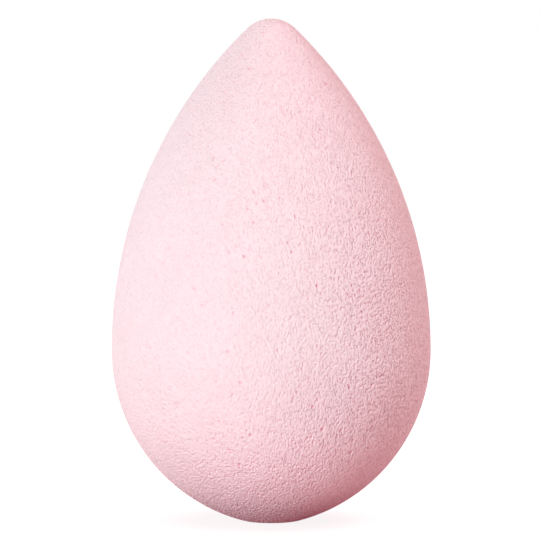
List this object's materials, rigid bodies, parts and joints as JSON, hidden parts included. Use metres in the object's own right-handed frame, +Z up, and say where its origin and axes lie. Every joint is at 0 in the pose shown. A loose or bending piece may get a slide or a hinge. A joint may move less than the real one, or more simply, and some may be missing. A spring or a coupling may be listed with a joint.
{
  "type": "makeup sponge",
  "caption": "Teardrop makeup sponge of soft open-cell foam, with a rounded tip, a full belly and a small flat base, for dabbing and blending cosmetics.",
  "frame": {"origin": "centre of the small flat base, on the surface that the sponge stands on", "axes": "+Z up the sponge's axis, from the flat base to the rounded tip; the sponge is round about Z, so X and Y are free"},
  "size_m": [0.0382, 0.0382, 0.06],
  "materials": {
    "foam": "matte"
  },
  "bodies": {
    "root": {"foam_body": "foam"}
  },
  "joints": []
}
